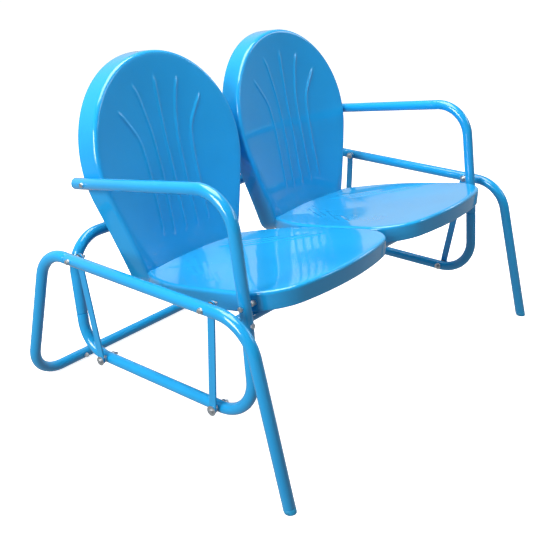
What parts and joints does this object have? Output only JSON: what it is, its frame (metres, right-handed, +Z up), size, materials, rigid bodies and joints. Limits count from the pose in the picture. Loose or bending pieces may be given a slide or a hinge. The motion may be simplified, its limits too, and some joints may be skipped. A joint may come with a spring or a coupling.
{
  "type": "two-seat glider bench",
  "caption": "Two-seat tubular steel garden glider with clamshell seats and round tulip backs, hung on pivoting links from a fixed tube base.",
  "frame": {"origin": "on the ground, under the middle of the fixed base", "axes": "+X along the width, towards the viewer's right when the glider is seen from the front; the front faces -Y; +Z up"},
  "size_m": [1.1196, 0.7956, 0.7545],
  "materials": {
    "sky_blue_gloss_paint": "gloss",
    "zinc_plated_steel": "satin",
    "black_nylon": "matte",
    "blue_plastic_caps": "satin"
  },
  "bodies": {
    "base": {"ground_joint_bolts": "zinc_plated_steel", "ground_joint_nuts": "zinc_plated_steel", "left_foot_cap": "blue_plastic_caps", "left_front_leg": "sky_blue_gloss_paint", "left_rear_leg": "sky_blue_gloss_paint", "rear_ground_bar": "sky_blue_gloss_paint", "right_foot_cap": "blue_plastic_caps", "right_front_leg": "sky_blue_gloss_paint", "right_rear_leg": "sky_blue_gloss_paint", "upper_pivot_bolts": "zinc_plated_steel", "upper_pivot_nuts": "zinc_plated_steel", "upper_pivot_saddles": "zinc_plated_steel", "upper_pivot_spacers": "zinc_plated_steel", "upper_pivot_washers": "zinc_plated_steel"},
    "front_left_link": {"front_left_bushes": "black_nylon", "front_left_link": "sky_blue_gloss_paint"},
    "front_right_link": {"front_right_bushes": "black_nylon", "front_right_link": "sky_blue_gloss_paint"},
    "rear_left_link": {"rear_left_bushes": "black_nylon", "rear_left_link": "sky_blue_gloss_paint"},
    "rear_right_link": {"rear_right_bushes": "black_nylon", "rear_right_link": "sky_blue_gloss_paint"},
    "swing": {"arm_back_bolts": "zinc_plated_steel", "arm_back_nuts": "zinc_plated_steel", "arm_back_spacers": "zinc_plated_steel", "centre_link_bolts": "zinc_plated_steel", "centre_link_nuts": "zinc_plated_steel", "centre_link_spacers": "zinc_plated_steel", "end_plugs": "blue_plastic_caps", "front_bar_bolts": "zinc_plated_steel", "front_bar_nuts": "zinc_plated_steel", "front_seat_bar": "sky_blue_gloss_paint", "left_arm": "sky_blue_gloss_paint", "left_back_shell": "sky_blue_gloss_paint", "left_back_struts": "sky_blue_gloss_paint", "left_lower_rail": "sky_blue_gloss_paint", "left_seat_pan": "sky_blue_gloss_paint", "lower_pivot_bolts": "zinc_plated_steel", "lower_pivot_nuts": "zinc_plated_steel", "lower_pivot_saddles": "zinc_plated_steel", "lower_pivot_spacers": "zinc_plated_steel", "lower_pivot_washers": "zinc_plated_steel", "rear_frame_tube": "sky_blue_gloss_paint", "rear_joint_screws": "zinc_plated_steel", "right_arm": "sky_blue_gloss_paint", "right_back_shell": "sky_blue_gloss_paint", "right_back_struts": "sky_blue_gloss_paint", "right_lower_rail": "sky_blue_gloss_paint", "right_seat_pan": "sky_blue_gloss_paint", "seat_back_bolts": "zinc_plated_steel", "seat_back_nuts": "zinc_plated_steel", "seat_side_bolts": "zinc_plated_steel", "seat_side_nuts": "zinc_plated_steel", "seat_side_spacers": "zinc_plated_steel", "strut_nuts": "zinc_plated_steel", "strut_screws": "zinc_plated_steel", "strut_studs": "zinc_plated_steel"}
  },
  "joints": [
    {"name": "front_left_hanger", "type": "hinge", "parent": "base", "child": "front_left_link", "pos_m": [-0.5226, -0.1777, 0.3635], "axis": [1, 0, 0], "range_deg": [-10, 10]},
    {"name": "swing_pivot", "type": "hinge", "parent": "front_left_link", "child": "swing", "pos_m": [0, -0.15262, 0.11225], "axis": [1, 0, 0], "range_deg": [-11.4, 11.4]},
    {"name": "front_right_hanger", "type": "hinge", "parent": "base", "child": "front_right_link", "pos_m": [0.5226, -0.1777, 0.3635], "axis": [1, 0, 0], "range_deg": [-10.2, 10.2]},
    {"name": "rear_left_hanger", "type": "hinge", "parent": "base", "child": "rear_left_link", "pos_m": [-0.5226, 0.1957, 0.3635], "axis": [1, 0, 0], "range_deg": [-10.2, 10.2]},
    {"name": "rear_right_hanger", "type": "hinge", "parent": "base", "child": "rear_right_link", "pos_m": [0.5226, 0.1957, 0.3635], "axis": [1, 0, 0], "range_deg": [-10.2, 10.2]}
  ],
  "couplings": [
    {"joint": "swing_pivot", "follows": "front_left_hanger", "ratio": -1.1244},
    {"joint": "front_right_hanger", "follows": "front_left_hanger", "ratio": 1},
    {"joint": "rear_left_hanger", "follows": "front_left_hanger", "ratio": 0.9968},
    {"joint": "rear_right_hanger", "follows": "front_left_hanger", "ratio": 0.9968}
  ]
}
